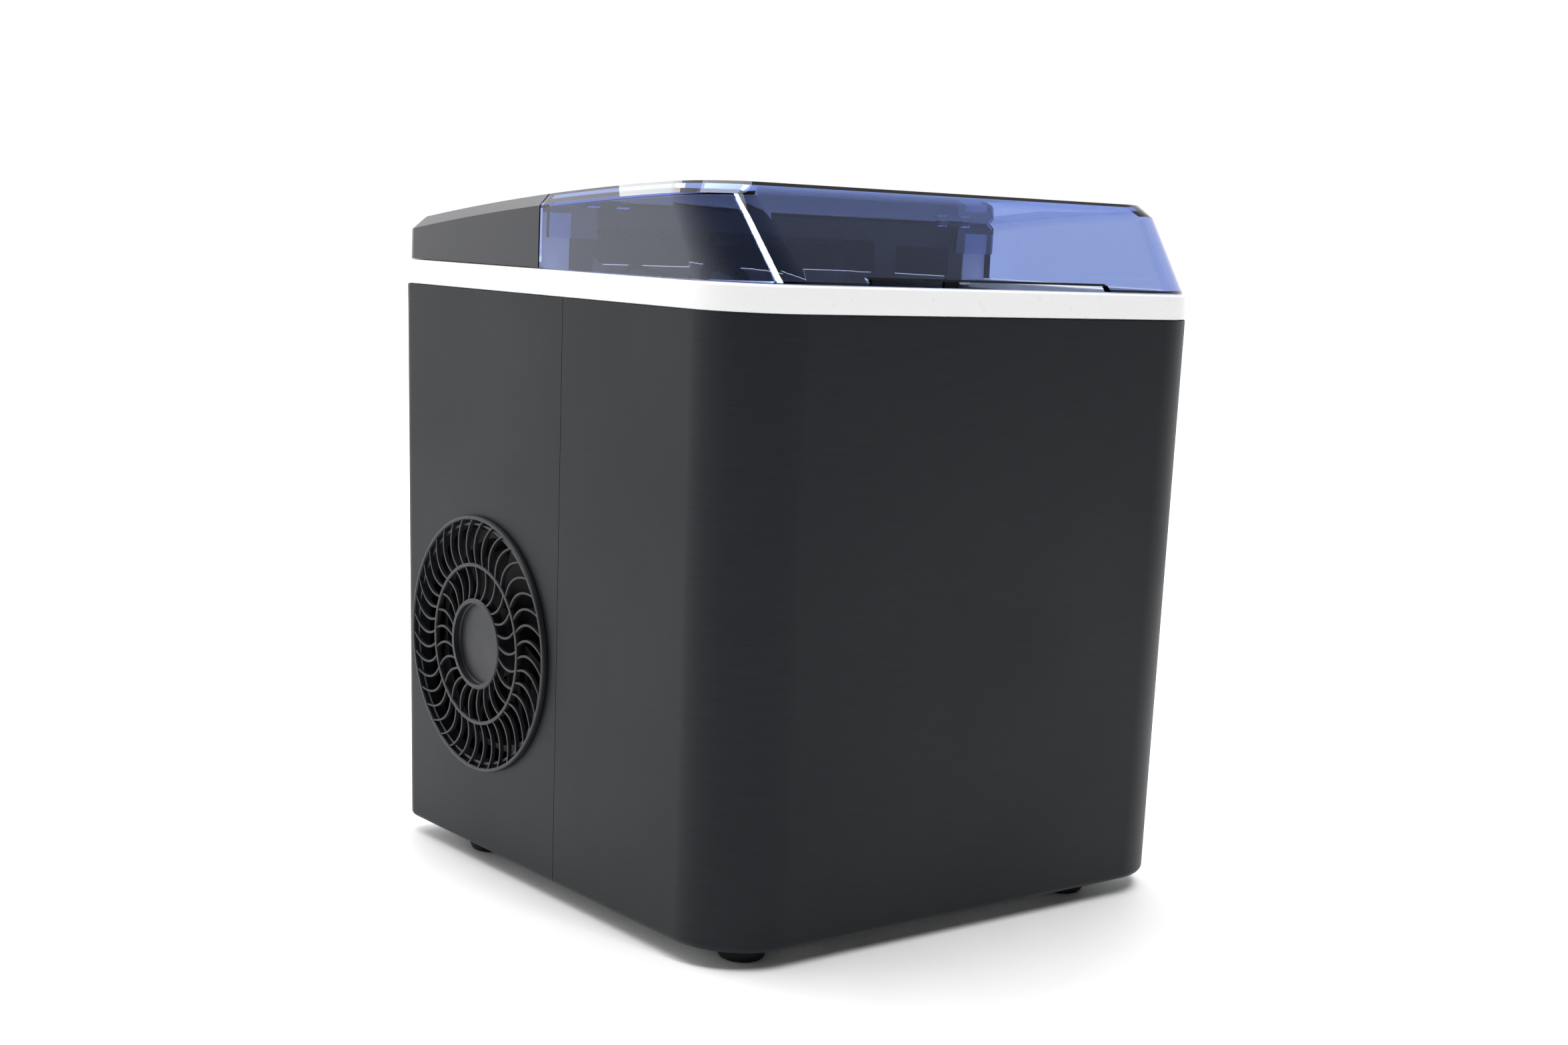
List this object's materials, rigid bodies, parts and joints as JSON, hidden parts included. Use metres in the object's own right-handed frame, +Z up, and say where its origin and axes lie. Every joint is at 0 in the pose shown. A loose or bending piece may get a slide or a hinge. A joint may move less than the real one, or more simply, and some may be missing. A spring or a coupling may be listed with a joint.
{
  "type": "countertop ice maker",
  "caption": "Compact countertop ice maker: tapered dark cabinet, white top band, raked tinted lid over an ice basket, rear cover with control panel, round swirl side grille.",
  "frame": {"origin": "on the standing surface, below the middle of the cabinet", "axes": "+Z up; -Y towards the front with the raked lid; +X to the right seen from the front, so the round grille is on the -X side"},
  "size_m": [0.254, 0.252, 0.2945],
  "materials": {
    "cabinet_graphite": "satin graphite with fine horizontal brushing",
    "band_white": "semi-gloss white moulding",
    "cover_dark": "satin dark grey moulding",
    "lid_smoke": "clear blue-grey tinted plastic",
    "panel_black": "gloss black",
    "button_grey": "satin grey",
    "board_green": "solder mask green",
    "plastic_black": "moulded black",
    "plastic_grey": "moulded grey",
    "liner_grey": "moulded light grey",
    "basket_clear_grey": "semi-gloss pale grey",
    "metal_steel": "zinc plated steel",
    "compressor_black": "semi-gloss black enamel",
    "metal_copper": "drawn copper tube",
    "metal_aluminium": "mill finish",
    "rubber_black": "matte black rubber",
    "silicone_hose": "translucent pale silicone"
  },
  "bodies": {
    "cabinet": {"front_shell": "cabinet_graphite", "rear_shell": "cabinet_graphite", "side_grille": "cabinet_graphite", "top_band": "band_white", "rear_cover": "cover_dark", "control_panel": "panel_black", "display_window": "panel_black", "display_board": "board_green", "main_board": "board_green", "fan_frame": "plastic_black", "ice_chute_frame": "plastic_black", "tray_motor": "plastic_black", "water_pump": "plastic_black", "drain_socket": "plastic_black", "ice_full_sensor": "plastic_black", "power_inlet": "plastic_black", "fan_motor": "plastic_grey", "tray_bearing": "plastic_grey", "inner_liner": "liner_grey", "evaporator": "metal_steel", "water_level_probe": "metal_steel", "hot_gas_valve": "metal_steel", "base_plate": "metal_steel", "base_screw_front_left": "metal_steel", "base_screw_front_right": "metal_steel", "base_screw_rear_left": "metal_steel", "base_screw_rear_right": "metal_steel", "board_bracket": "metal_steel", "compressor": "compressor_black", "condenser_coil": "metal_copper", "filter_drier": "metal_copper", "discharge_pipe": "metal_copper", "liquid_pipe": "metal_copper", "capillary_tube": "metal_copper", "suction_pipe": "metal_copper", "condenser_fins": "metal_aluminium", "foot_front_left": "rubber_black", "foot_front_right": "rubber_black", "foot_rear_left": "rubber_black", "foot_rear_right": "rubber_black", "compressor_mount_a": "rubber_black", "compressor_mount_b": "rubber_black", "compressor_mount_c": "rubber_black", "compressor_mount_d": "rubber_black", "suction_hose": "silicone_hose", "tray_hose": "silicone_hose", "drain_hose": "silicone_hose"},
    "lid": {"lid": "lid_smoke"},
    "power_button": {"button_power": "button_grey"},
    "size_button": {"button_ice_size": "button_grey"},
    "clean_button": {"button_clean": "button_grey"},
    "fan": {"fan_rotor": "plastic_black"},
    "tray": {"water_tray": "liner_grey", "ice_shovel": "plastic_black"},
    "basket": {"ice_basket": "basket_clear_grey"},
    "drain_plug": {"drain_plug": "rubber_black"}
  },
  "joints": [
    {"name": "lid_hinge", "type": "hinge", "parent": "cabinet", "child": "lid", "pos_m": [0, 0.0089, 0.28524], "axis": [-1, 0, 0], "range_deg": [0, 85]},
    {"name": "power_press", "type": "slide", "parent": "cabinet", "child": "power_button", "axis": [0, -0.1146, -0.9934], "range_m": [0, 0.0008], "stiffness_N_per_m": 400},
    {"name": "size_press", "type": "slide", "parent": "cabinet", "child": "size_button", "axis": [0, -0.1146, -0.9934], "range_m": [0, 0.0008], "stiffness_N_per_m": 400},
    {"name": "clean_press", "type": "slide", "parent": "cabinet", "child": "clean_button", "axis": [0, -0.1146, -0.9934], "range_m": [0, 0.0008], "stiffness_N_per_m": 400},
    {"name": "fan_spin", "type": "hinge", "parent": "cabinet", "child": "fan", "pos_m": [-0.105, 0.0536, 0.0966], "axis": [1, 0, 0], "continuous": true},
    {"name": "tray_tilt", "type": "hinge", "parent": "cabinet", "child": "tray", "pos_m": [0, 0.075, 0.22], "axis": [1, 0, 0], "range_deg": [0, 60]},
    {"name": "basket_lift", "type": "slide", "parent": "cabinet", "child": "basket", "axis": [0, 0, 1], "range_m": [0, 0.022]},
    {"name": "drain_plug_pull", "type": "slide", "parent": "cabinet", "child": "drain_plug", "axis": [1, 0, 0], "range_m": [0, 0.012]}
  ]
}
